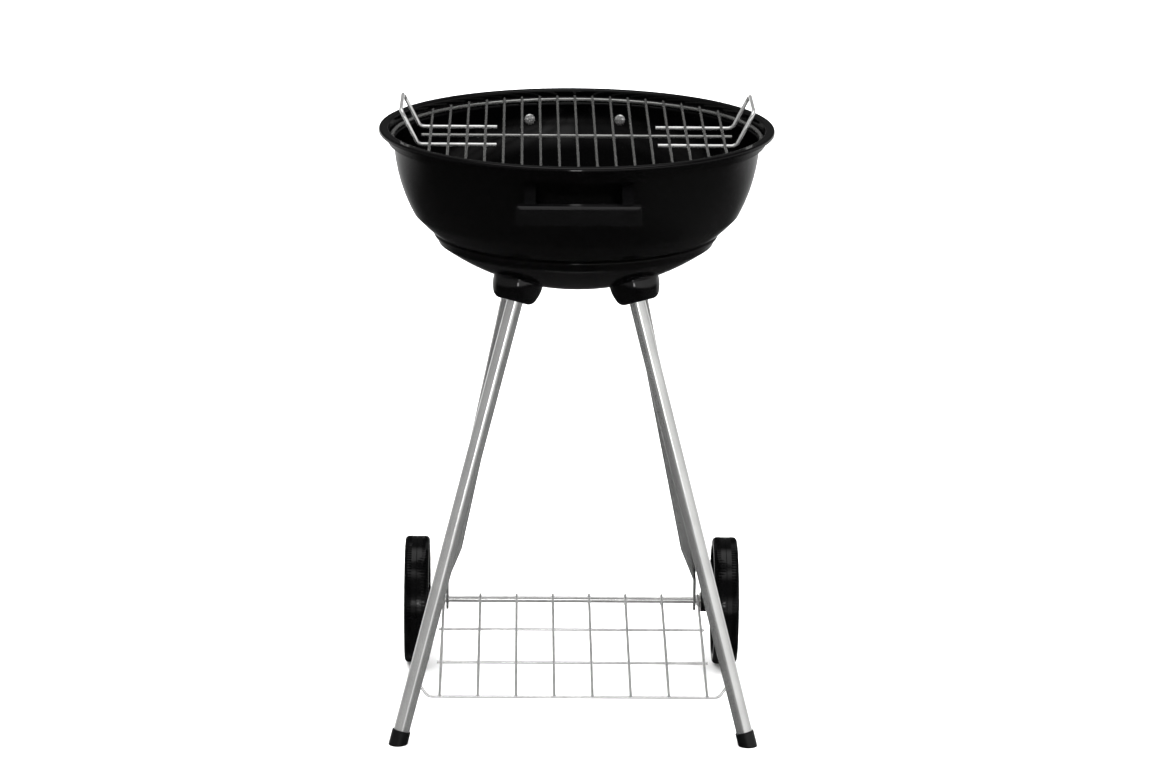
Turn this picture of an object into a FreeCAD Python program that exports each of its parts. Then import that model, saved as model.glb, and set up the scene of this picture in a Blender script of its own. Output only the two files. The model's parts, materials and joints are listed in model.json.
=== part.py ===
import FreeCAD, Part

import math
import os

import Sketcher
from FreeCAD import Placement, Rotation, Vector

# Kettle charcoal grill: an enamelled bowl on four tube legs, the rear two on wheels.
# Frame: +Z up, the front (the side with the feet) faces -Y, origin on the ground under the bowl's centre.

DIMENSIONS = {
    # the bowl's outer surface, from the rim down; heights are above the ground
    "rim_radius": 230.0,
    "rim_height": 705.0,
    "lip_drop": 4.0,
    "collar_radius": 220.0,
    "ledge_height": 689.0,
    "wall_radius": 212.5,
    "wall_top": 686.0,
    "wall_curve": 195.0,
    "crease_radius": 189.5,
    "crease_height": 605.0,
    "side_curve": 250.0,
    "step_radius": 166.0,
    "step_height": 579.5,
    "riser_radius": 162.0,
    "dish_radius": 161.0,
    "dish_edge_height": 570.5,
    "floor_height": 517.5,
    "sheet": 1.5,
    # air vents and their damper
    "vent_radius": 10.0,
    "vent_circle": 34.0,
    "damper_radius": 54.0,
    "damper_sheet": 1.2,
    "damper_gap": 0.3,
    "damper_tab_width": 16.0,
    "damper_tab_height": 14.0,
    "damper_tab_y": -48.0,
    "rivet_radius": 4.0,
    "rivet_head": 8.0,
    "rivet_head_height": 2.0,
    "running_gap": 0.05,
    # cooking grate and its two lifting handles
    "grate_ring": 214.5,
    "ring_wire": 2.5,
    "bar_wire": 1.6,
    "bar_pitch": 21.2,
    "lift_rod": 2.3,
    "lift_half_width": 50.0,
    "lift_inner": 93.0,
    "lift_bend": 183.0,
    "lift_outer": 203.0,
    "lift_rise": 40.0,
    "wire_bend": 9.0,
    # charcoal grate
    "coal_ring": 162.0,
    "coal_wire": 2.2,
    "coal_pitch": 21.0,
    "coal_cross_pitch": 140.0,
    "coal_rest": 0.75,
    # front and rear handles
    "handle_width": 138.0,
    "handle_tall": 22.0,
    "handle_deep": 15.0,
    "handle_chamfer": 2.5,
    "handle_reach": 265.0,
    "handle_level": 658.0,
    "arm_offset": 54.5,
    "arm_width": 13.0,
    "arm_top": 684.0,
    "arm_bottom": 650.0,
    "arm_sink": 1.0,
    "screw_level": 671.0,
    "screw_radius": 2.5,
    "screw_head": 6.5,
    "screw_head_height": 2.6,
    "screw_length": 13.0,
    # leg sockets: bell-shaped cups, widest against the bowl
    "socket_offset": 67.4,
    "socket_radius": 29.3,
    "socket_depth": 22.7,
    "socket_side_curve": 44.0,
    "socket_corner": 7.7,
    "socket_corner_radius": 25.9,
    "socket_corner_curve": 11.0,
    "socket_floor": 17.5,
    # the bolt through the bowl and socket into the plug in each leg's top end
    "bolt_radius": 3.0,
    "bolt_head": 6.0,
    "bolt_head_height": 3.0,
    "bolt_length": 21.0,
    "plug_length": 12.0,
    # legs: the axis of each tube at the mouth of its socket and at the ground
    "tube_radius": 9.5,
    "tube_wall": 1.2,
    "leg_top_x": 74.0,
    "leg_top_y": 75.0,
    "leg_top_height": 501.0,
    "leg_past_top": 25.0,
    "front_foot_x": 204.5,
    "front_foot_y": 155.0,
    "cap_radius": 11.0,
    "cap_length": 17.0,
    "cap_floor": 3.0,
    "tab_x": 152.0,
    "tab_sheet": 3.0,
    "tab_width": 25.0,
    "tab_rise": 26.0,
    "crimp_length": 46.0,
    "tab_overlap": 4.0,
    # axle and wheels
    "axle_y": 155.0,
    "axle_radius": 4.0,
    "wheel_radius": 78.0,
    "wheel_width": 30.0,
    "wheel_x": 189.0,
    "shoulder": 5.0,
    "rim_thick": 11.0,
    "web_thick": 5.0,
    "hub_radius": 14.0,
    "hub_inner_x": 159.8,
    "hub_outer_x": 195.5,
    "washer_radius": 9.0,
    "washer_sheet": 1.2,
    "nut_radius": 8.0,
    "nut_length": 6.0,
    "end_play": 0.4,
    # wire rack between the legs
    "rack_wire": 1.7,
    "rack_pitch": 44.6,
    "rack_front_y": 147.0,
    "rack_front_height": 56.0,
    "rack_end_rise": 20.0,
    "rack_end_run": 15.0,
    "rack_overhang": 3.0,
    "cross_overhang": 5.0,
}

BAR_COUNT = 17
COAL_BAR_COUNT = 15
RACK_WIRE_COUNT = 8
VENT_COUNT = 4
LEFT, RIGHT = -1, 1
FRONT, REAR = -1, 1
SIDES = {"left": LEFT, "right": RIGHT}
ENDS = {"front": FRONT, "rear": REAR}
CLEAR = 10.0  # how far a cutter runs past what it cuts
BITE = 0.3  # how far welded wires sink into each other
UP = Vector(0, 0, 1)
ALONG_X = Vector(1, 0, 0)
ALONG_Y = Vector(0, 1, 0)

doc = FreeCAD.newDocument("kettle_grill")
sheet = doc.addObject("Spreadsheet::Sheet", "Dimensions")
for row, (alias, number) in enumerate(DIMENSIONS.items(), start=1):
    sheet.set(f"A{row}", alias)
    sheet.set(f"B{row}", str(number))
    sheet.setAlias(f"B{row}", alias)
doc.recompute()


class Size:
    """A dimension that keeps its sheet expression beside its value, so both survive arithmetic."""

    def __init__(self, text, value):
        self.text = text
        self.value = value

    @staticmethod
    def of(other):
        return other if isinstance(other, Size) else Size(repr(float(other)), float(other))

    def __add__(self, other):
        other = Size.of(other)
        return Size(f"({self.text} + {other.text})", self.value + other.value)

    def __sub__(self, other):
        other = Size.of(other)
        return Size(f"({self.text} - {other.text})", self.value - other.value)

    def __mul__(self, other):
        other = Size.of(other)
        return Size(f"({self.text} * {other.text})", self.value * other.value)


def dim(alias):
    return Size(f"Dimensions.{alias}", float(sheet.get(alias)))


def mm(alias):
    return dim(alias).value


def bind(thing, prop, size):
    thing.setExpression(prop, Size.of(size).text)


subparts = []


def subpart(thing, node):
    """Names a finished sub-part after its node and lists it for export."""
    thing.Label = node
    subparts.append(thing)
    return thing


# --- general shapes ---------------------------------------------------------------------------------

def cylinder(name, radius, height, base, direction=UP):
    solid = doc.addObject("Part::Cylinder", name)
    bind(solid, "Radius", radius)
    bind(solid, "Height", height)
    solid.Placement = Placement(base, Rotation(UP, direction))
    return solid


def rod(name, radius, start, end):
    return cylinder(name, radius, (end - start).Length, start, end - start)


def torus(name, ring_radius, wire_radius, height):
    solid = doc.addObject("Part::Torus", name)
    bind(solid, "Radius1", ring_radius)
    bind(solid, "Radius2", wire_radius)
    solid.Placement = Placement(Vector(0, 0, height), Rotation())
    return solid


def fuse(name, shapes):
    joined = doc.addObject("Part::MultiFuse", name)
    joined.Shapes = shapes
    return joined


def group(name, shapes):
    together = doc.addObject("Part::Compound", name)
    together.Links = shapes
    return together


def cut(name, base, tool):
    left_over = doc.addObject("Part::Cut", name)
    left_over.Base = base
    left_over.Tool = tool
    return left_over


def bent_rod(name, points, radius, bend):
    """A round rod along straight runs joined by arcs of radius bend."""
    edges = []
    start = points[0]
    for before, corner, after in zip(points, points[1:], points[2:]):
        arriving = (corner - before).normalize()
        leaving = (after - corner).normalize()
        turn = arriving.getAngle(leaving)
        trim = bend * math.tan(turn / 2)
        inward = (leaving - arriving).normalize()
        to_arc = bend / math.cos(turn / 2) - bend
        arc_start = corner - arriving * trim
        arc_end = corner + leaving * trim
        edges.append(Part.LineSegment(start, arc_start).toShape())
        edges.append(Part.Arc(arc_start, corner + inward * to_arc, arc_end).toShape())
        start = arc_end
    edges.append(Part.LineSegment(start, points[-1]).toShape())
    section = Part.Wire(Part.Circle(points[0], points[1] - points[0], radius).toShape())
    thing = doc.addObject("Part::Feature", name)
    thing.Shape = Part.Wire(edges).makePipeShell([section], True, True)
    return thing


def origin_plane(body, role):
    return next(item for item in body.Origin.OriginFeatures if item.Role == role)


def closed_sketch(body, name, role, corners):
    """A closed outline on one of the body's origin planes.

    Each corner is (across, up) or (across, up, curve): curve is the radius of the arc that runs from
    this corner to the next, positive when it bulges to the right of the way it runs.
    """
    sketch = body.newObject("Sketcher::SketchObject", name)
    sketch.AttachmentSupport = [(origin_plane(body, role), "")]
    sketch.MapMode = "FlatFace"
    count = len(corners)
    ends = []
    for index, corner in enumerate(corners):
        following = corners[(index + 1) % count]
        start = Vector(Size.of(corner[0]).value, Size.of(corner[1]).value, 0)
        end = Vector(Size.of(following[0]).value, Size.of(following[1]).value, 0)
        curve = Size.of(corner[2]) if len(corner) > 2 else None
        if curve is None:
            edge = sketch.addGeometry(Part.LineSegment(start, end), False)
        else:
            chord = end - start
            rightward = Vector(chord.y, -chord.x, 0).normalize()
            radius = abs(curve.value)
            bulge = radius - math.sqrt(radius ** 2 - chord.Length ** 2 / 4)
            middle = (start + end) * 0.5 + rightward * math.copysign(bulge, curve.value)
            edge = sketch.addGeometry(Part.Arc(start, middle, end), False)
            size = curve if curve.value > 0 else Size.of(0) - curve
            bound = sketch.addConstraint(Sketcher.Constraint("Radius", edge, radius))
            sketch.setExpression(f"Constraints[{bound}]", size.text)
        first = 1 if sketch.getPoint(edge, 1).distanceToPoint(start) < 1e-6 else 2
        ends.append((edge, first, 3 - first))
    for index, (edge, first, _) in enumerate(ends):
        previous, _, last = ends[index - 1]
        sketch.addConstraint(Sketcher.Constraint("Coincident", previous, last, edge, first))
        for kind, value in zip(("DistanceX", "DistanceY"), corners[index]):
            size = Size.of(value)
            bound = sketch.addConstraint(Sketcher.Constraint(kind, -1, 1, edge, first, size.value))
            sketch.setExpression(f"Constraints[{bound}]", size.text)
    return sketch


def turned(name, corners, placement=Placement()):
    """A body turned about its own Z axis from an outline of (radius, height) corners."""
    body = doc.addObject("PartDesign::Body", name)
    sketch = closed_sketch(body, name + "Outline", "XZ_Plane", corners)
    turn = body.newObject("PartDesign::Revolution", name + "Turn")
    turn.Profile = sketch
    turn.ReferenceAxis = (sketch, ["V_Axis"])
    turn.Angle = 360
    body.Placement = placement
    return body


def prism(name, corners, width, placement=Placement()):
    """A body padded evenly to both sides of its YZ plane from an outline of (y, z) corners."""
    body = doc.addObject("PartDesign::Body", name)
    sketch = closed_sketch(body, name + "Outline", "YZ_Plane", corners)
    pad = body.newObject("PartDesign::Pad", name + "Pad")
    pad.Profile = sketch
    bind(pad, "Length", width)
    pad.Midplane = True
    body.Placement = placement
    return body


def facing(end):
    """Turns what was built towards +Y to the given end of the grill."""
    return Placement(Vector(), Rotation(UP, 0 if end == REAR else 180))


# --- bowl -------------------------------------------------------------------------------------------

dish_drop = mm("dish_edge_height") - mm("floor_height")
dish_curve = (mm("dish_radius") ** 2 + dish_drop ** 2) / (2 * dish_drop)
dish_centre = Vector(0, 0, mm("floor_height") + dish_curve)


def arc_normal(start, end, radius, at_start):
    """Unit normal, towards the arc's centre, at one end of an arc that bulges right of its way."""
    chord = end - start
    turn = math.asin(chord.Length / 2 / radius)
    leftward = math.atan2(chord.x, -chord.y)
    angle = leftward - turn if at_start else leftward + turn
    return Vector(math.cos(angle), math.sin(angle), 0)


def offset_inwards(radius, height, normal):
    return radius + dim("sheet") * normal.x, height + dim("sheet") * normal.y


def bowl_outside():
    """Corners of the outer surface, from the middle of the floor up to the wall's top."""
    return [
        (0, dim("floor_height"), dish_curve),
        (dim("dish_radius"), dim("dish_edge_height")),
        (dim("riser_radius"), dim("step_height") - dim("sheet")),
        (dim("step_radius"), dim("step_height"), dim("side_curve")),
        (dim("crease_radius"), dim("crease_height"), dim("wall_curve")),
        (dim("wall_radius"), dim("wall_top")),
    ]


def bowl_shell():
    sheet_size = dim("sheet")
    step = Vector(mm("step_radius"), mm("step_height"), 0)
    crease = Vector(mm("crease_radius"), mm("crease_height"), 0)
    top = Vector(mm("wall_radius"), mm("wall_top"), 0)
    top_in = arc_normal(crease, top, mm("wall_curve"), False)
    crease_in = arc_normal(crease, top, mm("wall_curve"), True)
    step_in = arc_normal(step, crease, mm("side_curve"), True)
    dish_in = (dish_centre - Vector(mm("dish_radius"), 0, mm("dish_edge_height"))).normalize()
    dish_in = Vector(dish_in.x, dish_in.z, 0)
    lip_bottom = dim("rim_height") - dim("lip_drop")
    flange_under = dim("rim_height") - sheet_size
    collar_inside = dim("collar_radius") - sheet_size
    wall_inside = offset_inwards(dim("wall_radius"), dim("wall_top"), top_in)
    rim = [
        (dim("wall_radius"), dim("ledge_height")),
        (dim("collar_radius"), dim("ledge_height")),
        (dim("collar_radius"), flange_under),
        (dim("rim_radius") - sheet_size, flange_under),
        (dim("rim_radius") - sheet_size, lip_bottom),
        (dim("rim_radius"), lip_bottom),
        (dim("rim_radius"), flange_under, sheet_size),
        (dim("rim_radius") - sheet_size, dim("rim_height")),
        (collar_inside + sheet_size, dim("rim_height"), sheet_size),
        (collar_inside, flange_under),
        (collar_inside, dim("ledge_height") + sheet_size),
        (wall_inside[0], dim("ledge_height") + sheet_size),
    ]
    inside = [
        (*wall_inside, Size.of(0) - (dim("wall_curve") - sheet_size)),
        (*offset_inwards(dim("crease_radius"), dim("crease_height"), crease_in),
         Size.of(0) - (dim("side_curve") - sheet_size)),
        offset_inwards(dim("step_radius"), dim("step_height"), step_in),
        (dim("riser_radius") - sheet_size, dim("step_height")),
        (*offset_inwards(dim("dish_radius"), dim("dish_edge_height"), dish_in),
         Size.of(0) - (Size.of(dish_curve) - sheet_size)),
        (0, dim("floor_height") + sheet_size),
    ]
    return turned("BowlShell", bowl_outside() + rim + inside)


def bowl_block(name):
    """The bowl's whole outer volume, used to shape what seats against it."""
    above = mm("rim_height")
    corners = bowl_outside() + [(dim("wall_radius"), above), (0, above)]
    return turned(name, corners)


def spread(count, pitch):
    """Even places on both sides of zero."""
    return [(index - (count - 1) / 2) * pitch for index in range(count)]


def ring_places(count, circle):
    places = []
    for index in range(count):
        angle = 2 * math.pi * (index + 0.5) / count
        places.append(Vector(circle * math.cos(angle), circle * math.sin(angle), 0))
    return places


def vent_cutters(name, margin):
    """Upright cutters for the air vents and, with margin all round, for the rivet."""
    tall = 3 * CLEAR
    base = Vector(0, 0, mm("floor_height") - CLEAR)
    cutters = [cylinder(f"{name}Rivet", dim("rivet_radius") + margin, tall, base)]
    for index, place in enumerate(ring_places(VENT_COUNT, mm("vent_circle"))):
        cutters.append(cylinder(f"{name}Vent{index}", dim("vent_radius"), tall, base + place))
    return cutters


# --- fasteners --------------------------------------------------------------------------------------

def wall_inside(height):
    """Inside radius of the upper wall at a height, and the wall's outward normal as (radial, up)."""
    crease = Vector(mm("crease_radius"), mm("crease_height"), 0)
    top = Vector(mm("wall_radius"), mm("wall_top"), 0)
    centre = top + arc_normal(crease, top, mm("wall_curve"), False) * mm("wall_curve")
    inside_curve = mm("wall_curve") - mm("sheet")
    rise = (height - centre.y) / inside_curve
    run = math.sqrt(1 - rise ** 2)
    return centre.x + inside_curve * run, (run, rise)


def domed_screw(name, head_radius, head_height, shank_radius, shank_length, seat, direction):
    """A screw with a domed head on seat and a shank that runs along direction."""
    dome = (head_radius ** 2 + head_height ** 2) / (2 * head_height)
    corners = [
        (0, -head_height, dome),
        (head_radius, 0),
        (shank_radius, 0),
        (shank_radius, shank_length),
        (0, shank_length),
    ]
    return turned(name, corners, Placement(seat, Rotation(UP, direction)))


SEAT_GAP = 0.25  # lifts a flat screw head clear of the curved sheet under it
BOLT_GAP = 0.8  # the same for the bolts, which run along the legs and not square to the sheet


def handle_screw_axis(side, end):
    """Seat on the inside of the wall and direction, square to the wall, of one handle screw."""
    radius, (run, rise) = wall_inside(mm("screw_level"))
    across = side * mm("arm_offset")
    along = end * math.sqrt(radius ** 2 - across ** 2)
    direction = Vector(across, along, 0).normalize() * run + UP * rise
    return Vector(across, along, mm("screw_level")) - direction * SEAT_GAP, direction


def socket_axis(side, end):
    """Seat on the bowl's outer surface and outward normal of one leg socket."""
    offset = mm("socket_offset")
    across = Vector(side * offset, end * offset, 0)
    depth = math.sqrt(dish_curve ** 2 - across.Length ** 2)
    seat = dish_centre + across - UP * depth
    return seat, (seat - dish_centre).normalize()


def leg_axis(side, end):
    """Points at the mouth of one leg's socket and at the lower end of its round tube."""
    top = Vector(side * mm("leg_top_x"), end * mm("leg_top_y"), mm("leg_top_height"))
    if end == FRONT:
        return top, Vector(side * mm("front_foot_x"), end * mm("front_foot_y"), 0)
    return top, Vector(side * mm("tab_x"), mm("axle_y"), mm("wheel_radius") + mm("tab_rise"))


def tube_end(side, end):
    """Upper end of one leg's tube, inside its socket, and the direction down the tube."""
    top, foot = leg_axis(side, end)
    down = (foot - top).normalize()
    return top - down * mm("leg_past_top"), down


def bolt_seat(side, end):
    """Where one leg's axis meets the inside of the bowl's dish, and the direction down the leg."""
    start, down = tube_end(side, end)
    from_centre = start - dish_centre
    half = from_centre.dot(down)
    inside_curve = dish_curve - mm("sheet")
    back = -half + math.sqrt(half ** 2 - from_centre.dot(from_centre) + inside_curve ** 2)
    return start + down * (back - BOLT_GAP), down


corner_sides = [(side_name, end_name) for end_name in ENDS for side_name in SIDES]


def bolt(name, side, end):
    seat, down = bolt_seat(side, end)
    return domed_screw(name, mm("bolt_head"), mm("bolt_head_height"), mm("bolt_radius"),
                       mm("bolt_length"), seat, down)


def bolt_hole(name, side, end):
    seat, down = bolt_seat(side, end)
    return cylinder(name, dim("bolt_radius") + dim("running_gap"), dim("bolt_length") + 2 * CLEAR,
                    seat - down * CLEAR, down)


def screw_hole(name, side, end):
    seat, direction = handle_screw_axis(side, end)
    return cylinder(name, dim("screw_radius") + dim("running_gap"), dim("screw_length") + CLEAR,
                    seat - direction * CLEAR, direction)


def make_bowl():
    holes = vent_cutters("BowlHole", dim("running_gap"))
    for side_name, end_name in corner_sides:
        side, end = SIDES[side_name], ENDS[end_name]
        holes.append(bolt_hole(f"BowlBoltHole_{side_name}_{end_name}", side, end))
        holes.append(screw_hole(f"BowlScrewHole_{side_name}_{end_name}", side, end))
    subpart(cut("Bowl", bowl_shell(), fuse("BowlHoles", holes)), "bowl")


# --- damper -----------------------------------------------------------------------------------------

def make_damper():
    """A dished disc that lies on the bowl's floor and turns about the rivet."""
    outer = dish_curve - mm("sheet") - mm("damper_gap")
    inner = outer - mm("damper_sheet")
    edge = mm("damper_radius")
    low = Vector(0, 0, dish_centre.z - outer)
    corners = [
        (0, low.z, outer),
        (dim("damper_radius"), dish_centre.z - math.sqrt(outer ** 2 - edge ** 2)),
        (dim("damper_radius"), dish_centre.z - math.sqrt(inner ** 2 - edge ** 2), -inner),
        (0, dish_centre.z - inner),
    ]
    tab = doc.addObject("Part::Box", "DamperTab")
    bind(tab, "Length", dim("damper_tab_width"))
    bind(tab, "Width", dim("damper_sheet"))
    bind(tab, "Height", dim("damper_tab_height"))
    tab_y = mm("damper_tab_y")
    tab_base = dish_centre.z - math.sqrt(inner ** 2 - tab_y ** 2) - BITE
    tab.Placement = Placement(Vector(-mm("damper_tab_width") / 2, tab_y, tab_base), Rotation())
    disc = fuse("DamperDisc", [turned("DamperSheet", corners), tab])
    holes = fuse("DamperHoles", vent_cutters("DamperHole", dim("running_gap")))
    subpart(cut("Damper", disc, holes), "damper_disc")

    head_seat = dish_centre.z - inner + mm("damper_gap")
    under = mm("floor_height") - mm("running_gap")
    thick = dim("rivet_head_height")
    shank = cylinder("RivetShank", dim("rivet_radius"), head_seat - under, Vector(0, 0, under))
    head = cylinder("RivetHead", dim("rivet_head"), thick, Vector(0, 0, head_seat))
    tail = cylinder("RivetTail", dim("rivet_head"), thick, Vector(0, 0, under - thick.value))
    subpart(fuse("Rivet", [shank, head, tail]), "damper_rivet")


# --- grates -----------------------------------------------------------------------------------------

def grid_bars(name, count, pitch, ring_radius, radius, height):
    bars = []
    for index, across in enumerate(spread(count, pitch)):
        half = math.sqrt(ring_radius ** 2 - across ** 2) + BITE
        start = Vector(across, -half, height)
        end = Vector(across, half, height)
        bars.append(rod(f"{name}{index}", radius, start, end))
    return bars


ring_height = mm("ledge_height") + mm("sheet") + mm("ring_wire")
bar_height = ring_height + mm("ring_wire") + mm("bar_wire") - BITE


def make_cooking_grate():
    ring = torus("GrateRing", dim("grate_ring"), dim("ring_wire"), ring_height)
    bars = grid_bars("GrateBar", BAR_COUNT, mm("bar_pitch"), mm("grate_ring"), dim("bar_wire"), bar_height)
    cross_height = bar_height - mm("bar_wire") - mm("lift_rod") + BITE
    reach = mm("bar_pitch") * BAR_COUNT / 2
    cross = rod("GrateCross", dim("lift_rod"), Vector(-reach, 0, cross_height), Vector(reach, 0, cross_height))
    subpart(fuse("CookingGrate", [ring, *bars, cross]), "cooking_grate")
    for side_name, side in SIDES.items():
        low = bar_height - mm("bar_wire") - mm("lift_rod")
        high = low + mm("lift_rise")
        path = []
        for end in (FRONT, REAR):
            run = [
                Vector(side * mm("lift_inner"), end * mm("lift_half_width"), low),
                Vector(side * mm("lift_bend"), end * mm("lift_half_width"), low),
                Vector(side * mm("lift_outer"), end * mm("lift_half_width"), high),
            ]
            path += run if end == FRONT else run[::-1]
        handle = bent_rod(f"GrateHandle_{side_name}", path, mm("lift_rod"), mm("wire_bend"))
        subpart(handle, f"grate_handle_{side_name}")


def make_charcoal_grate():
    height = mm("step_height") + mm("coal_wire") + mm("coal_rest")
    ring = torus("CoalRing", dim("coal_ring"), dim("coal_wire"), height)
    bar_level = height + 2 * mm("coal_wire") - BITE
    bars = grid_bars("CoalBar", COAL_BAR_COUNT, mm("coal_pitch"), mm("coal_ring"), dim("coal_wire"), bar_level)
    crosses = []
    for index, along in enumerate(spread(2, mm("coal_cross_pitch"))):
        half = math.sqrt(mm("coal_ring") ** 2 - along ** 2)
        start = Vector(-half, along, height)
        end = Vector(half, along, height)
        crosses.append(rod(f"CoalCross{index}", dim("coal_wire"), start, end))
    subpart(fuse("CharcoalGrate", [ring, *bars, *crosses]), "charcoal_grate")


# --- handles ----------------------------------------------------------------------------------------

def make_handle(end_name):
    end = ENDS[end_name]
    half_tall = dim("handle_tall") * 0.5
    back = dim("handle_reach") - dim("handle_deep")
    bevel = dim("handle_chamfer")
    low = dim("handle_level") - half_tall
    high = dim("handle_level") + half_tall
    section = [
        (back, low),
        (dim("handle_reach") - bevel, low),
        (dim("handle_reach"), low + bevel),
        (dim("handle_reach"), high - bevel),
        (dim("handle_reach") - bevel, high),
        (back, high),
    ]
    bar = prism(f"HandleBar_{end_name}", section, dim("handle_width"), facing(end))
    inside_wall = dim("wall_radius") - CLEAR
    sink = dim("arm_sink")
    inside_bar = back + sink
    profile = [
        (inside_wall, dim("arm_bottom")),
        (inside_bar, low + sink),
        (inside_bar, high - sink),
        (inside_wall, dim("arm_top")),
    ]
    pieces = [bar]
    holes = [bowl_block(f"HandleSeat_{end_name}")]
    for side_name, side in SIDES.items():
        place = Placement(Vector(side * mm("arm_offset"), 0, 0), Rotation())
        pieces.append(prism(f"HandleArm_{side_name}_{end_name}", profile, dim("arm_width"), place * facing(end)))
        holes.append(screw_hole(f"HandlePilot_{side_name}_{end_name}", side, end))
    whole = fuse(f"HandleSolid_{end_name}", pieces)
    subpart(cut(f"Handle_{end_name}", whole, fuse(f"HandleHoles_{end_name}", holes)), f"handle_{end_name}")
    screws = []
    for side_name, side in SIDES.items():
        seat, direction = handle_screw_axis(side, end)
        screws.append(domed_screw(f"HandleScrew_{side_name}_{end_name}", mm("screw_head"),
                                  mm("screw_head_height"), mm("screw_radius"), mm("screw_length"),
                                  seat, direction))
    subpart(group(f"HandleScrews_{end_name}", screws), f"handle_screws_{end_name}")


# --- legs, sockets and feet -------------------------------------------------------------------------

def make_socket(side_name, end_name):
    side, end = SIDES[side_name], ENDS[end_name]
    key = f"{side_name}_{end_name}"
    seat, outward = socket_axis(side, end)
    corners = [
        (0, 0),
        (dim("socket_floor"), 0, dim("socket_corner_curve")),
        (dim("socket_corner_radius"), dim("socket_corner"), dim("socket_side_curve")),
        (dim("socket_radius"), dim("socket_depth")),
        (dim("socket_radius"), dim("socket_depth") + CLEAR),
        (0, dim("socket_depth") + CLEAR),
    ]
    base = seat + outward * mm("socket_depth")
    cup = turned(f"SocketCup_{key}", corners, Placement(base, Rotation(UP, outward * -1)))
    bore_end, down = tube_end(side, end)
    bore = cylinder(f"SocketBore_{key}", dim("tube_radius") + dim("running_gap"),
                    dim("leg_past_top") + 3 * CLEAR, bore_end, down)
    holes = [bowl_block(f"SocketSeat_{key}"), bore, bolt_hole(f"SocketBoltHole_{key}", side, end)]
    subpart(cut(f"Socket_{key}", cup, fuse(f"SocketHoles_{key}", holes)), f"socket_{end_name}_{side_name}")


def leg_plug(name, side, end):
    """The threaded plug pressed into a leg's top end."""
    start, down = tube_end(side, end)
    plug = cylinder(f"{name}Solid", dim("tube_radius") - dim("tube_wall"), dim("plug_length"), start, down)
    thread = cylinder(f"{name}Thread", dim("bolt_radius"), dim("plug_length") + 2 * CLEAR,
                      start - down * CLEAR, down)
    return cut(name, plug, thread)


def make_front_leg(side_name):
    side = SIDES[side_name]
    _, foot = leg_axis(side, FRONT)
    end, down = tube_end(side, FRONT)
    start = foot + down * (mm("cap_floor") / down.z)
    outer = rod(f"FrontTube_{side_name}", dim("tube_radius"), start, end)
    inner = rod(f"FrontTubeInside_{side_name}", dim("tube_radius") - dim("tube_wall"),
                start + down, end - down)
    holes = fuse(f"FrontTubeHoles_{side_name}", [inner, rack_end_hole(side_name)])
    subpart(cut(f"FrontLeg_{side_name}", outer, holes), f"leg_front_{side_name}")

    shell = rod(f"CapShell_{side_name}", dim("cap_radius"), foot + down * CLEAR, foot - down * mm("cap_length"))
    ground = cylinder(f"CapGround_{side_name}", dim("cap_radius") * 2, 2 * CLEAR, foot, UP * -1)
    bore = rod(f"CapBore_{side_name}", dim("tube_radius") + dim("running_gap"), start, end)
    trim = fuse(f"CapTrim_{side_name}", [ground, bore])
    subpart(cut(f"Cap_{side_name}", shell, trim), f"foot_cap_{side_name}")


def make_rear_leg(side_name):
    """A tube whose lower end is pressed flat into a tab for the axle."""
    side = SIDES[side_name]
    _, tab_top = leg_axis(side, REAR)
    axle = tab_top - UP * mm("tab_rise")
    end, down = tube_end(side, REAR)
    round_end = tab_top - down * mm("crimp_length")
    tube = rod(f"RearTube_{side_name}", dim("tube_radius"), round_end, end)
    hollow = rod(f"RearTubeInside_{side_name}", dim("tube_radius") - dim("tube_wall"), round_end, end - down)

    crimp = doc.addObject("Part::Feature", f"RearCrimp_{side_name}")
    half_wide = mm("tab_width") / 2
    half_thin = mm("tab_sheet") / 2
    flat = Part.Ellipse(tab_top + ALONG_Y * half_wide, tab_top + ALONG_X * half_thin, tab_top)
    circle = Part.Circle(round_end, down * -1, mm("tube_radius"))
    sections = [Part.Wire(flat.toShape()), Part.Wire(circle.toShape())]
    crimp.Shape = Part.makeLoft(sections, True, False)

    tab = doc.addObject("Part::Box", f"RearTab_{side_name}")
    bind(tab, "Length", dim("tab_sheet"))
    bind(tab, "Width", dim("tab_width"))
    bind(tab, "Height", dim("tab_rise") + dim("tab_overlap"))
    tab.Placement = Placement(axle - Vector(half_thin, half_wide, 0), Rotation())
    tip = cylinder(f"RearTip_{side_name}", dim("tab_width") * 0.5, dim("tab_sheet"),
                   axle - ALONG_X * half_thin, ALONG_X)
    whole = fuse(f"RearLegSolid_{side_name}", [tube, crimp, tab, tip])
    eye = cylinder(f"RearEye_{side_name}", dim("axle_radius") + dim("running_gap"), 2 * CLEAR,
                   axle - ALONG_X * CLEAR, ALONG_X)
    holes = fuse(f"RearLegHoles_{side_name}", [hollow, eye])
    subpart(cut(f"RearLeg_{side_name}", whole, holes), f"leg_rear_{side_name}")


# --- axle and wheels --------------------------------------------------------------------------------

axle_line = Vector(0, mm("axle_y"), mm("wheel_radius"))


def across_axle(side, distance):
    """Placement of a turned piece whose own Z runs outwards along the axle."""
    return Placement(axle_line + ALONG_X * side * distance, Rotation(UP, ALONG_X * side))


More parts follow.
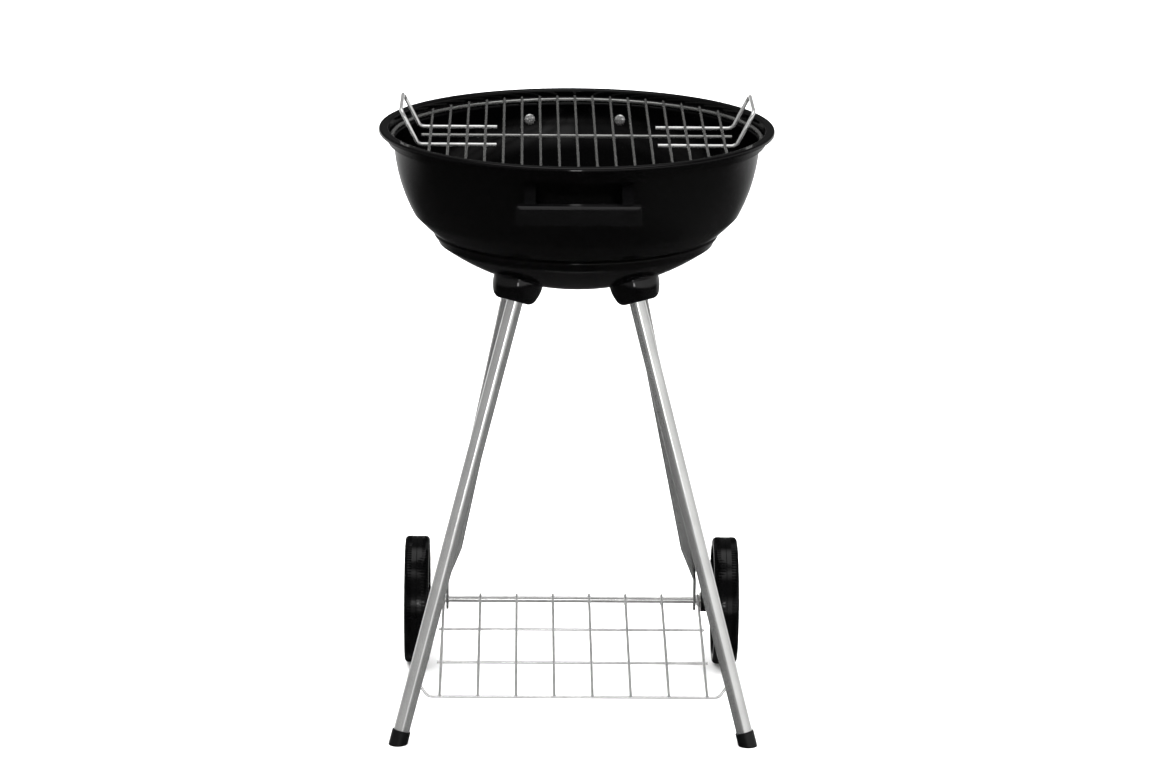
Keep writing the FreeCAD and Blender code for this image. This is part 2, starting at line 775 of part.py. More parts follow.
def make_wheel(side_name):
    side = SIDES[side_name]
    radius = dim("wheel_radius")
    half = dim("wheel_width") * 0.5
    outer = dim("wheel_x") + half
    inner = dim("wheel_x") - half
    rim_inside = radius - dim("rim_thick")
    bore = dim("axle_radius") + dim("running_gap")
    web_inner = dim("wheel_x") - dim("web_thick") * 0.5
    web_outer = dim("wheel_x") + dim("web_thick") * 0.5
    round_edge = dim("shoulder")
    corners = [
        (bore, dim("hub_inner_x")),
        (dim("hub_radius"), dim("hub_inner_x")),
        (dim("hub_radius"), web_inner),
        (rim_inside, web_inner),
        (rim_inside, inner),
        (radius - round_edge, inner, round_edge),
        (radius, inner + round_edge),
        (radius, outer - round_edge, round_edge),
        (radius - round_edge, outer),
        (rim_inside, outer),
        (rim_inside, web_outer),
        (dim("hub_radius"), web_outer),
        (dim("hub_radius"), dim("hub_outer_x")),
        (bore, dim("hub_outer_x")),
    ]
    subpart(turned(f"Wheel_{side_name}", corners, across_axle(side, 0)), f"wheel_{side_name}")


def washer(name, side, distance):
    bore = dim("axle_radius") + dim("running_gap")
    corners = [
        (bore, distance),
        (dim("washer_radius"), distance),
        (dim("washer_radius"), Size.of(distance) + dim("washer_sheet")),
        (bore, Size.of(distance) + dim("washer_sheet")),
    ]
    return turned(name, corners, across_axle(side, 0))


def make_axle():
    gap = mm("end_play")
    washer_out = mm("hub_outer_x") + gap
    nut_start = washer_out + mm("washer_sheet")
    reach = nut_start + mm("nut_length")
    washers = []
    nuts = []
    for side_name, side in SIDES.items():
        inner_start = mm("hub_inner_x") - gap - mm("washer_sheet")
        washers.append(washer(f"WasherInner_{side_name}", side, inner_start))
        washers.append(washer(f"WasherOuter_{side_name}", side, washer_out))
        nut = doc.addObject("Part::Prism", f"NutHex_{side_name}")
        nut.Polygon = 6
        bind(nut, "Circumradius", dim("nut_radius"))
        bind(nut, "Height", dim("nut_length"))
        nut.Placement = across_axle(side, nut_start)
        bore = cylinder(f"NutBore_{side_name}", dim("axle_radius"), dim("nut_length") + 2 * CLEAR,
                        axle_line + ALONG_X * side * (nut_start - CLEAR), ALONG_X * side)
        nuts.append(cut(f"Nut_{side_name}", nut, bore))
    start = axle_line - ALONG_X * reach
    subpart(cylinder("Axle", dim("axle_radius"), 2 * reach, start, ALONG_X), "axle")
    subpart(group("Washers", washers), "axle_washers")
    subpart(group("Nuts", nuts), "axle_nuts")


# --- wire rack --------------------------------------------------------------------------------------

def rack_front_path(side):
    """Centre line of the front wire's half that ends inside the front leg on one side."""
    rise = mm("rack_end_rise")
    level = mm("rack_front_height")
    top, foot = leg_axis(side, FRONT)
    share = (level + rise) / (top.z - foot.z)
    into_leg = foot + (top - foot) * share
    knee = Vector(side * (abs(into_leg.x) - mm("rack_end_run")), -mm("rack_front_y"), level)
    return knee, into_leg


def rack_end_hole(side_name):
    knee, into_leg = rack_front_path(SIDES[side_name])
    return rod(f"RackEndHole_{side_name}", dim("rack_wire") + dim("running_gap"), knee, into_leg)


def make_rack():
    radius = mm("rack_wire")
    front = Vector(0, -mm("rack_front_y"), mm("rack_front_height") + 2 * radius - BITE)
    hook = mm("axle_radius") + radius
    rear = axle_line + UP * hook
    slope = math.atan2(rear.z - front.z, rear.y - front.y)
    lift_off = axle_line + Vector(0, -hook * math.sin(slope), hook * math.cos(slope))
    along = (lift_off - front).normalize()
    front_end = front - along * mm("rack_overhang")
    pieces = []
    for index, across in enumerate(spread(RACK_WIRE_COUNT, mm("rack_pitch"))):
        shift = ALONG_X * across
        over = Part.Arc(lift_off + shift, axle_line + ALONG_Y * hook + shift, axle_line - UP * hook + shift)
        path = Part.Wire([Part.LineSegment(front_end + shift, lift_off + shift).toShape(), over.toShape()])
        section = Part.Wire(Part.Circle(front_end + shift, along, radius).toShape())
        wire = doc.addObject("Part::Feature", f"RackWire{index}")
        wire.Shape = path.makePipeShell([section], True, True)
        pieces.append(wire)
    half_width = mm("rack_pitch") * (RACK_WIRE_COUNT - 1) / 2 + mm("cross_overhang")
    for index, share in enumerate((1 / 3, 2 / 3)):
        middle = front + (lift_off - front) * share - UP * (2 * radius - BITE)
        ends = ALONG_X * half_width
        pieces.append(rod(f"RackCross{index}", dim("rack_wire"), middle - ends, middle + ends))
    left_knee, left_end = rack_front_path(LEFT)
    right_knee, right_end = rack_front_path(RIGHT)
    pieces.append(bent_rod("RackFront", [left_end, left_knee, right_knee, right_end], radius,
                           mm("wire_bend")))
    subpart(fuse("Rack", pieces), "wire_rack")


# --- the whole grill --------------------------------------------------------------------------------

make_bowl()
make_damper()
make_cooking_grate()
make_charcoal_grate()
for end_name in ENDS:
    make_handle(end_name)
socket_bolts = []
leg_plugs = []
for side_name, end_name in corner_sides:
    make_socket(side_name, end_name)
    side, end = SIDES[side_name], ENDS[end_name]
    socket_bolts.append(bolt(f"SocketBolt_{side_name}_{end_name}", side, end))
    leg_plugs.append(leg_plug(f"LegPlug_{side_name}_{end_name}", side, end))
subpart(group("SocketBolts", socket_bolts), "socket_bolts")
subpart(group("LegPlugs", leg_plugs), "leg_plugs")
for side_name in SIDES:
    make_front_leg(side_name)
    make_rear_leg(side_name)
    make_wheel(side_name)
make_axle()
make_rack()
doc.recompute()

for thing in doc.Objects:
    if "Invalid" in thing.State or "Error" in thing.State:
        raise RuntimeError(f"{thing.Name} failed: {thing.State}")

os.makedirs("parts", exist_ok=True)
for thing in subparts:
    if thing.Shape.isNull() or not thing.Shape.isValid():
        raise RuntimeError(f"{thing.Label} has no valid shape")
    thing.Shape.exportStep(f"parts/{thing.Label}.step")
    box = thing.Shape.BoundBox
    print(f"{thing.Label}: {len(thing.Shape.Solids)} solids, {thing.Shape.Volume:.0f} mm3, "
          f"x {box.XMin:.1f}..{box.XMax:.1f} y {box.YMin:.1f}..{box.YMax:.1f} z {box.ZMin:.1f}..{box.ZMax:.1f}")
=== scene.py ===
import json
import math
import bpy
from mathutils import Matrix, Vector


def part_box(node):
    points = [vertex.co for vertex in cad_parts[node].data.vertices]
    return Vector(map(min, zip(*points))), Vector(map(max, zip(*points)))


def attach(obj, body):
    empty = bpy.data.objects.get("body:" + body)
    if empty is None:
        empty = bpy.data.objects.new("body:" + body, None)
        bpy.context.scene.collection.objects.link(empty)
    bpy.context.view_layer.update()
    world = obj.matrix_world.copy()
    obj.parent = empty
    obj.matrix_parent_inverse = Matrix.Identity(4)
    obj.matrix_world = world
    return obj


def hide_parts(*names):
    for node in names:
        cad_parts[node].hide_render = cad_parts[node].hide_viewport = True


bl_info = {
    "name": "Kettle Charcoal Grill Finish",
    "version": (1, 0, 0),
    "blender": (4, 5, 0),
    "location": "View3D > Sidebar > Grill",
    "description": "Builds the finished look of a kettle charcoal grill around its fixed frame",
    "category": "Object",
}

import bmesh
import bpy
import numpy as np
from bpy.props import FloatProperty, FloatVectorProperty, IntProperty, PointerProperty
from mathutils import Matrix, Vector

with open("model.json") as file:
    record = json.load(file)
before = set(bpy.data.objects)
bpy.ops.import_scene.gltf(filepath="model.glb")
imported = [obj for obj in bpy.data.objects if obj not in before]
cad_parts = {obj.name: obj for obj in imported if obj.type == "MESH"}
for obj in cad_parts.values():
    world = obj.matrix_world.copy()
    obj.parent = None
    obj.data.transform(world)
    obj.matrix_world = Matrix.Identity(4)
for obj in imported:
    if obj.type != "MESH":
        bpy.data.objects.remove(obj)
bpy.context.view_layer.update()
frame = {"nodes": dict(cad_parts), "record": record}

STAND = "stand_and_bowl"
LEFT, RIGHT = -1, 1
FRONT, REAR = -1, 1
SIDES = {"left": LEFT, "right": RIGHT}
ENDS = {"front": FRONT, "rear": REAR}
ALONG_X = Vector((1, 0, 0))
SINK = 0.001  # how far joined pieces run into each other, in metres


# --- shader expressions -----------------------------------------------------------------------------

class Field:
    """A shader socket that takes part in Python arithmetic."""

    def __init__(self, paint, socket):
        self.paint = paint
        self.socket = socket

    def _math(self, operation, *values):
        return self.paint.node("ShaderNodeMath", {"operation": operation}, *values)

    def __add__(self, other):
        return self._math("ADD", self, other)

    def __radd__(self, other):
        return self._math("ADD", other, self)

    def __sub__(self, other):
        return self._math("SUBTRACT", self, other)

    def __rsub__(self, other):
        return self._math("SUBTRACT", other, self)

    def __mul__(self, other):
        return self._math("MULTIPLY", self, other)

    def __rmul__(self, other):
        return self._math("MULTIPLY", other, self)

    def smooth(self, low, high):
        """0 below low, 1 above high, eased between."""
        return self.paint.node("ShaderNodeMapRange", {"interpolation_type": "SMOOTHSTEP"}, self, low, high)

    def parts(self):
        """The X, Y and Z of a vector."""
        split = self.paint.node("ShaderNodeSeparateXYZ", {}, self)
        outputs = split.socket.node.outputs
        return [Field(self.paint, outputs[place]) for place in range(3)]


class Paint:
    """Builds one material's or world's node tree."""

    def __init__(self, tree):
        self.tree = tree
        tree.nodes.clear()

    def node(self, kind, settings=None, *inputs, output=0, **named):
        """Adds a node: its settings first, then socket values or links by order or by name.

        A socket given as None keeps its own default.
        """
        made = self.tree.nodes.new(kind)
        for key, value in (settings or {}).items():
            setattr(made, key, value)
        for place, value in [*enumerate(inputs), *named.items()]:
            if value is None:
                continue
            socket = made.inputs[place.replace("_", " ") if isinstance(place, str) else place]
            if isinstance(value, Field):
                self.tree.links.new(value.socket, socket)
            else:
                socket.default_value = value
        return Field(self, made.outputs[output]) if len(made.outputs) else None

    def place(self):
        """Position in the object's own metres."""
        return self.node("ShaderNodeTexCoord", {}, output="Object")

    def stretched(self, x, y, z):
        """Position scaled along each axis, for grain that runs one way."""
        return self.node("ShaderNodeVectorMath", {"operation": "MULTIPLY"}, self.place(), (x, y, z))

    def noise(self, scale, detail=2.0, where=None, roughness=0.5):
        return self.node("ShaderNodeTexNoise", {}, Vector=where or self.place(), Scale=scale,
                         Detail=detail, Roughness=roughness, output="Fac")

    def blend(self, share, low, high):
        """A colour between two others."""
        number_sockets = [None] * 5
        return self.node("ShaderNodeMix", {"data_type": "RGBA"}, share, *number_sockets,
                         (*low, 1), (*high, 1), output=2)

    def bump(self, height, depth, strength=1.0):
        return self.node("ShaderNodeBump", {}, Strength=strength, Distance=depth, Height=height)

    def surface(self, **sockets):
        shader = self.node("ShaderNodeBsdfPrincipled", {}, **sockets)
        self.node("ShaderNodeOutputMaterial", {}, shader)


def finish(name):
    """A new material, and the paint that fills it."""
    material = bpy.data.materials.new(name)
    material.use_nodes = True
    return material, Paint(material.node_tree)


def porcelain_enamel(settings):
    """Glossy black glass fired on steel, with a faint ripple."""
    material, paint = finish("black_porcelain_enamel")
    ripple = paint.noise(38, 1)
    speck = paint.noise(900, 2)
    colour = paint.blend(speck.smooth(0.35, 0.75), tuple(settings.enamel), (0.0012, 0.0012, 0.0013))
    rough = 0.055 + 0.06 * paint.noise(14, 3)
    paint.surface(Base_Color=colour, Roughness=rough, IOR=settings.enamel_ior,
                  Normal=paint.bump(ripple + 0.06 * speck, 0.0001, 0.5))
    return material


def satin_tube(settings):
    """Bright steel tube with a fine grain drawn along it."""
    material, paint = finish("satin_steel_tube")
    grain = paint.noise(60, 3, paint.stretched(60, 60, 2.0), 0.6)
    cloud = paint.noise(22, 2)
    dull = tuple(0.9 * part for part in settings.steel)
    colour = paint.blend(cloud.smooth(0.3, 0.7), tuple(settings.steel), dull)
    paint.surface(Base_Color=colour, Metallic=0.9, Roughness=0.12 + 0.1 * grain,
                  Normal=paint.bump(grain, 0.00004, 0.35))
    return material


def drawn_wire(name, tint, rough, metallic=0.9):
    """Plated wire: small die marks and a soft change of tone along it."""
    material, paint = finish(name)
    cloud = paint.noise(45, 3)
    marks = paint.noise(420, 2)
    darker = tuple(0.84 * part for part in tint)
    colour = paint.blend(cloud.smooth(0.35, 0.7), tint, darker)
    paint.surface(Base_Color=colour, Metallic=metallic, Roughness=rough + 0.1 * marks,
                  Normal=paint.bump(marks, 0.00005, 0.4))
    return material


def moulded_plastic(name, tint, rough, grain_scale=1500.0, depth=0.00003, index=1.45):
    """Black moulded plastic with a fine spark-eroded grain and slightly uneven gloss."""
    material, paint = finish(name)
    grain = paint.noise(grain_scale, 3)
    cloud = paint.noise(30, 2)
    paler = tuple(1.5 * part for part in tint)
    colour = paint.blend(cloud.smooth(0.3, 0.8), tint, paler)
    paint.surface(Base_Color=colour, Roughness=rough + 0.06 * cloud, IOR=index,
                  Normal=paint.bump(grain, depth, 0.6))
    return material


def heated_steel(name):
    """Plain steel rod and sheet with a mottled mill surface."""
    material, paint = finish(name)
    cloud = paint.noise(28, 4)
    pits = paint.noise(600, 3)
    colour = paint.blend(cloud.smooth(0.3, 0.7), (0.20, 0.197, 0.193), (0.30, 0.295, 0.29))
    paint.surface(Base_Color=colour, Metallic=1.0, Roughness=0.34 + 0.2 * cloud,
                  Normal=paint.bump(pits, 0.00006, 0.5))
    return material


def floor_paint(settings):
    material, paint = finish("pale_floor")
    cloud = paint.noise(3, 2)
    colour = paint.blend(cloud, tuple(settings.floor_colour), (0.93, 0.93, 0.93))
    paint.surface(Base_Color=colour, Roughness=0.8, IOR=1.15)
    return material


# --- sizes and colours a user would change ----------------------------------------------------------

def length(name, description, default):
    return FloatProperty(name=name, description=description, default=default, subtype="DISTANCE",
                         unit="LENGTH", precision=4)


def angle(name, description, default):
    return FloatProperty(name=name, description=description, default=default, subtype="ANGLE",
                         unit="ROTATION")


def tint(name, description, default):
    return FloatVectorProperty(name=name, description=description, default=default, subtype="COLOR",
                               min=0, max=1)


class FinishSettings(bpy.types.PropertyGroup):
    enamel: tint("Enamel", "Colour of the fired enamel", (0.0006, 0.0006, 0.00065))
    enamel_ior: FloatProperty(name="Enamel index", description="Refractive index of the enamel's glass",
                              default=1.38, min=1, max=2)
    steel: tint("Tube steel", "Colour of the leg tubes", (0.76, 0.76, 0.75))


class BowlSettings(bpy.types.PropertyGroup):
    sheet: length("Sheet", "Thickness of the steel sheet", 0.0015)
    ease: length("Corner easing", "How far each side of a corner the pressing rounds it", 0.0016)
    collar: length("Collar radius", "Outside of the collar round the cooking grate", 0.220)
    ledge: length("Ledge height", "Underside of the ledge under the cooking grate", 0.689)
    wall: length("Wall radius", "Outside of the wall at its top", 0.2125)
    wall_top: length("Wall top", "Height at which the wall turns out to the ledge", 0.686)
    wall_curve: length("Wall curve", "Radius of the upper wall's arc", 0.195)
    crease: length("Crease radius", "Outside where upper wall and side meet", 0.1895)
    crease_height: length("Crease height", "Height where upper wall and side meet", 0.605)
    side_curve: length("Side curve", "Radius of the side's arc", 0.250)
    step: length("Step radius", "Outside edge of the step above the dish", 0.166)
    step_height: length("Step height", "Height of the step above the dish", 0.5795)
    bead: length("Bead", "How far the step stands out as a bead", 0.0024)
    riser: length("Riser radius", "Outside of the short wall under the step", 0.162)
    dish: length("Dish radius", "Outside edge of the dished floor", 0.161)
    dish_height: length("Dish edge height", "Height of the dished floor's edge", 0.5705)
    rim_turn: length("Rim turn", "How far the rim's edge turns down from its top", 0.0045)
    rivet: length("Rivet hole", "Radius of the hole for the damper's rivet", 0.00405)
    vent: length("Vent radius", "Radius of each air vent", 0.010)
    vent_circle: length("Vent circle", "Distance of each vent from the middle", 0.034)
    vents: IntProperty(name="Vents", description="Number of air vents", default=4, min=0, max=8)
    steps: IntProperty(name="Steps", description="Facets round the bowl", default=240, min=32, max=720)


class WheelSettings(bpy.types.PropertyGroup):
    width: length("Width", "Width of the tyre", 0.030)
    rim: length("Rim", "Thickness of the tyre and rim", 0.011)
    web: length("Web", "Thickness of the web inside the rim", 0.005)
    hub: length("Hub radius", "Outside of the hub", 0.014)
    bore: length("Bore radius", "Hole for the axle", 0.00405)
    shoulder: length("Shoulder", "Rounding of the tyre's edges", 0.005)
    band: length("Smooth band", "Half width of the smooth middle of the tread", 0.0062)
    hub_end: length("Hub end", "How far the hub stands out from the wheel's middle", 0.0065)
    line: length("Parting line", "Depth and half width of the tread's parting line", 0.0004)
    rib_depth: length("Rib depth", "Depth between the ribs of the shoulders", 0.0019)
    ribs: IntProperty(name="Ribs", description="Number of ribs round each shoulder", default=124,
                      min=12, max=180)
    spokes: IntProperty(name="Spokes", description="Stiffening ribs on the web", default=6,
                        min=0, max=12)
    spoke_width: length("Spoke width", "Thickness of each stiffening rib", 0.003)
    spoke_share: FloatProperty(name="Spoke share", description="Depth of the spokes as a share of the width",
                               default=0.55, min=0.2, max=1)
    spoke_edge: length("Spoke edge", "Rounding of the spokes' edges", 0.0007)


class HandleSettings(bpy.types.PropertyGroup):
    width: length("Width", "Length of the handle bar from side to side", 0.138)
    tall: length("Height", "Height of the handle bar", 0.022)
    deep: length("Depth", "Depth of the handle bar", 0.015)
    chamfer: length("Chamfer", "Bevel round the bar's face", 0.0025)
    level: length("Level", "Height of the bar's middle", 0.658)
    arm_offset: length("Arm offset", "Distance of each arm from the middle", 0.0545)
    arm_width: length("Arm width", "Width of each arm", 0.013)
    arm_top: length("Arm top", "Top of each arm at the wall", 0.684)
    arm_bottom: length("Arm bottom", "Bottom of each arm at the wall", 0.650)
    screw_level: length("Screw level", "Height of the screws inside the wall", 0.671)
    screw_head: length("Screw head", "Radius of each screw's head", 0.0065)
    screw_dome: length("Screw dome", "Height of each screw's head", 0.0026)
    screw_shank: length("Screw shank", "Radius of each screw's shank", 0.0025)
    screw_length: length("Screw length", "Length of each screw's shank", 0.013)
    screw_seat: length("Screw seat", "How far each head is pressed into the wall", 0.00025)
    recess: length("Recess", "Half length of the cross recess's slots", 0.0027)
    slot_width: length("Slot width", "Width of the cross recess's slots", 0.0013)
    slot_depth: length("Slot depth", "Depth of the cutter for the slots, centred on the dome", 0.003)
    slot_turn: angle("Slot turn", "How far each cross recess is turned", 0.6)
    edge: length("Edge rounding", "Rounding of the moulding's sharp edges", 0.0005)


class FootSettings(bpy.types.PropertyGroup):
    radius: length("Cap radius", "Outside of each foot cap", 0.011)
    bore: length("Bore radius", "Inside of each foot cap", 0.00955)
    tall: length("Cap length", "Length of each cap along its tube", 0.017)
    floor: length("Cap floor", "Thickness of the cap under its tube", 0.003)
    rounding: length("Rounding", "Rounding of the cap's lower edge", 0.003)
    mouth: length("Mouth rounding", "Rounding of the cap's upper edge", 0.0006)
    edge: length("Edge rounding", "Rounding of the edge round the cap's cut sole", 0.0008)
    lean_out: length("Lean out", "How far the tube's axis moves out from top to ground", 0.1305)
    lean_on: length("Lean forward", "How far the tube's axis moves forward from top to ground", 0.080)
    drop: length("Drop", "Height over which it leans that far", 0.501)
    out: length("Foot out", "Where the axis meets the ground, from the middle", 0.2045)
    on: length("Foot forward", "Where the axis meets the ground, from the middle", 0.155)


class StageSettings(bpy.types.PropertyGroup):
    floor_colour: tint("Floor", "Colour of the floor", (0.88, 0.88, 0.88))
    floor_size: length("Floor size", "Width of the floor", 80.0)
    front_light: FloatProperty(name="Front light", description="Brightness of the tall box in front",
                               default=8.0, min=0)
    overhead_light: FloatProperty(name="Overhead light", description="Strength of the light from above",
                                  default=5.5, min=0)
    overhead_spread: angle("Overhead spread", "How broad the light from above is", math.radians(80))
    camera_distance: length("Camera distance", "From the grill's middle, level", 5.0)
    camera_height: length("Camera height", "Above the floor", 1.745)
    camera_turn: angle("Camera turn", "Round the grill from its front, to the right", -0.0131)
    camera_tilt: angle("Camera tilt", "Down from level", 0.2644)
    camera_aside: angle("Camera aside", "Aim to the right of the grill's middle", 0.0013)
    camera_roll: angle("Camera roll", "Lean of the camera about its own line", 0.0095)
    lens: FloatProperty(name="Lens", description="Focal length in millimetres", default=136.25)


# --- mesh building ----------------------------------------------------------------------------------

def along(direction, place=Vector()):
    """Turns a piece built up its own Z to run along direction from place."""
    return Matrix.Translation(place) @ direction.to_track_quat("Z", "Y").to_matrix().to_4x4()


def arc(start, end, radius, spacing=0.0005):
    """Points from start up to end, without end, on an arc that bulges right of its way."""
    start, end = Vector(start), Vector(end)
    chord = end - start
    rightward = Vector((chord.y, -chord.x)).normalized()
    centre = (start + end) / 2 - rightward * math.sqrt(radius ** 2 - chord.length_squared / 4)
    sweep = 2 * math.asin(chord.length / 2 / radius)
    first = math.atan2(start.y - centre.y, start.x - centre.x)
    count = max(2, round(radius * sweep / spacing))
    turns = [first + sweep * index / count for index in range(count)]
    return [centre + radius * Vector((math.cos(turn), math.sin(turn))) for turn in turns]


def eased(path, reach, spacing=0.0005):
    """The path with each corner rounded over reach, as points close enough together to be smooth."""
    points = np.array([list(point) for point in path])
    run = np.concatenate([[0], np.cumsum(np.linalg.norm(np.diff(points, axis=0), axis=1))])
    count = round(run[-1] / spacing)
    places = np.linspace(0, run[-1], count + 1)
    even = np.stack([np.interp(places, run, points[:, axis]) for axis in (0, 1)], axis=1)
    width = round(reach / spacing)
    window = np.hanning(2 * width + 3)[1:-1]
    before = 2 * even[0] - even[width:0:-1]
    after = 2 * even[-1] - even[-2:-width - 2:-1]
    padded = np.concatenate([before, even, after])
    smooth = [np.convolve(padded[:, axis], window / window.sum(), "valid") for axis in (0, 1)]
    return thinned(np.stack(smooth, axis=1))


def thinned(points, turn=math.radians(3.0), gap=0.008):
    """Drops points from a smooth path until each kept one turns or travels far enough."""
    kept = [points[0]]
    heading = None
    for here, ahead in zip(points[1:-1], points[2:]):
        step = ahead - here
        now = math.atan2(step[1], step[0])
        heading = now if heading is None else heading
        bend = abs((now - heading + math.pi) % (2 * math.pi) - math.pi)
        if bend > turn or np.linalg.norm(here - kept[-1]) > gap:
            kept.append(here)
            heading = now
    kept.append(points[-1])
    return np.array(kept)


def thickened(path, thickness):
    """A closed outline: the path, and back along its left side at a sheet's thickness."""
    ahead = np.gradient(path, axis=0)
    ahead /= np.linalg.norm(ahead, axis=1)[:, None]
    inner = path + thickness * np.stack([-ahead[:, 1], ahead[:, 0]], axis=1)
    return [*path, *inner[::-1]]


def rounded(corners, radii, steps=5):
    """A closed outline with each corner replaced by an arc of its radius."""
    points = []
    count = len(corners)
    for index, radius in enumerate(radii):
        here = Vector(corners[index])
        back = (Vector(corners[index - 1]) - here).normalized()
        on = (Vector(corners[(index + 1) % count]) - here).normalized()
        half = back.angle(on) / 2
        if radius <= 0:
            points.append(here)
            continue
        centre = here + (back + on).normalized() * radius / math.sin(half)
        start = here + back * radius / math.tan(half) - centre
        end = here + on * radius / math.tan(half) - centre
        for step in range(steps + 1):
            share = step / steps
            arm = start.slerp(end, share) if start.angle(end) > 1e-4 else start
            points.append(centre + arm.normalized() * radius)
    return points


def turned(outline, steps, reach=None):
    """A closed outline of (radius, height) turned about Z. reach(turn, index) moves a point outwards."""
    solid = bmesh.new()
    rings = []
    for index, (radius, height) in enumerate(outline):
        if radius < 1e-6:
            rings.append([solid.verts.new((0, 0, height))] * steps)
            continue
        ring = []
        for step in range(steps):
            turn = 2 * math.pi * step / steps
            out = radius + (reach(step, index) if reach else 0)
            ring.append(solid.verts.new((out * math.cos(turn), out * math.sin(turn), height)))
        rings.append(ring)
    for this, following in zip(rings, rings[1:] + rings[:1]):
        for step in range(steps):
            after = (step + 1) % steps
            corners = [this[step], this[after], following[after], following[step]]
            unique = list(dict.fromkeys(corners))
            if len(unique) > 2:
                solid.faces.new(unique)
    bmesh.ops.recalc_face_normals(solid, faces=solid.faces)
    return solid


def ring_drum(radius, height, steps=32):
    """An upright drum, used to cut round holes."""
    return turned([(0, 0), (radius, 0), (radius, height), (0, height)], steps)


def placed(solid, matrix):
    bmesh.ops.transform(solid, matrix=matrix, verts=solid.verts)
    return solid


def joined(solids):
    """One bmesh from several."""
    whole = bmesh.new()
    for solid in solids:
        mesh = bpy.data.meshes.new("part")
        solid.to_mesh(mesh)
        solid.free()
        whole.from_mesh(mesh)
        bpy.data.meshes.remove(mesh)
    return whole


def thing(name, solid):
    mesh = bpy.data.meshes.new(name)
    solid.to_mesh(mesh)
    solid.free()
    made = bpy.data.objects.new(name, mesh)
    bpy.context.scene.collection.objects.link(made)
    return made


def apply_modifiers(made):
    """Turns an object's modifiers into its mesh."""
    bpy.context.view_layer.update()
    scene_state = bpy.context.evaluated_depsgraph_get()
    final = bpy.data.meshes.new_from_object(made.evaluated_get(scene_state))
    made.modifiers.clear()
    old = made.data
    made.data = final
    bpy.data.meshes.remove(old)


def bored(made, cutters):
    """Takes cutters, given as one bmesh, away from an object."""
    tool = thing("cutters", cutters)
    cutting = made.modifiers.new("holes", "BOOLEAN")
    cutting.operation = "DIFFERENCE"
    cutting.solver = "EXACT"
    cutting.object = tool
    apply_modifiers(made)
    bpy.data.objects.remove(tool)


def softened(made, width, segments=2, limit=math.radians(35)):
    """Rounds an object's sharp edges."""
    bevel = made.modifiers.new("edges", "BEVEL")
    bevel.width = width
    bevel.segments = segments
    bevel.limit_method = "ANGLE"
    bevel.angle_limit = limit
    bevel.harden_normals = False
    apply_modifiers(made)


def piece(made, material, body, slot, *nodes, sharp=math.radians(40)):
    """Finishes a piece: its material, smooth faces, the body it rides on and the nodes it stands for."""
    mesh = made.data
    mesh.materials.clear()
    mesh.materials.append(material)
    mesh.shade_smooth()
    mesh.set_sharp_from_angle(angle=sharp)
    flats = made.modifiers.new("flats", "WEIGHTED_NORMAL")
    flats.keep_sharp = True
    flats.weight = 60
    apply_modifiers(made)
    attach(made, body)
    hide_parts(*nodes)
    return made


# --- operators --------------------------------------------------------------------------------------

def materials(settings):
    """Makes each finish once, under the name of its slot."""
    return {
        "black_enamel": porcelain_enamel(settings),
        "satin_tube": satin_tube(settings),
        "bright_steel": drawn_wire("bright_plated_wire", (0.86, 0.86, 0.85), 0.12, 0.8),
        "screw_chrome": drawn_wire("chromed_screws", (0.8, 0.8, 0.79), 0.1, 0.8),
        "cooking_wire": drawn_wire("satin_plated_wire", (0.41, 0.41, 0.40), 0.2),
        "plain_steel": heated_steel("plain_steel"),
        "zinc_steel": drawn_wire("zinc_plate", (0.62, 0.62, 0.59), 0.28),
        "handle_plastic": moulded_plastic("handle_plastic", (0.0014, 0.0014, 0.0015), 0.1, index=1.33),
        "socket_plastic": moulded_plastic("socket_plastic", (0.0008, 0.0008, 0.0009), 0.06, 900.0, 0.00001),
        "wheel_plastic": moulded_plastic("wheel_plastic", (0.0012, 0.0012, 0.0013), 0.07, index=1.36),
        "foot_plastic": moulded_plastic("foot_plastic", (0.0015, 0.0015, 0.0016), 0.26, index=1.4),
    }


FINISHES = {}  # filled when the frame is dressed


class GRILL_OT_dress_frame(bpy.types.Operator):
    """Make the finishes and give every part of the frame its own"""
    bl_idname = "grill.dress_frame"
    bl_label = "Dress the frame"

    def execute(self, context):
        FINISHES.update(materials(context.scene.grill_finish))
        for part in frame["record"]["subparts"]:
            mesh = frame["nodes"][part["node"]].data
            mesh.materials.clear()
            mesh.materials.append(FINISHES[part["material_slot"]])
        # The rack and the leg parts would mirror as streaks in the bowl's gloss.
        for name, node in frame["nodes"].items():
            if name == "wire_rack" or name.startswith("leg_"):
                node.visible_glossy = False
        return {"FINISHED"}


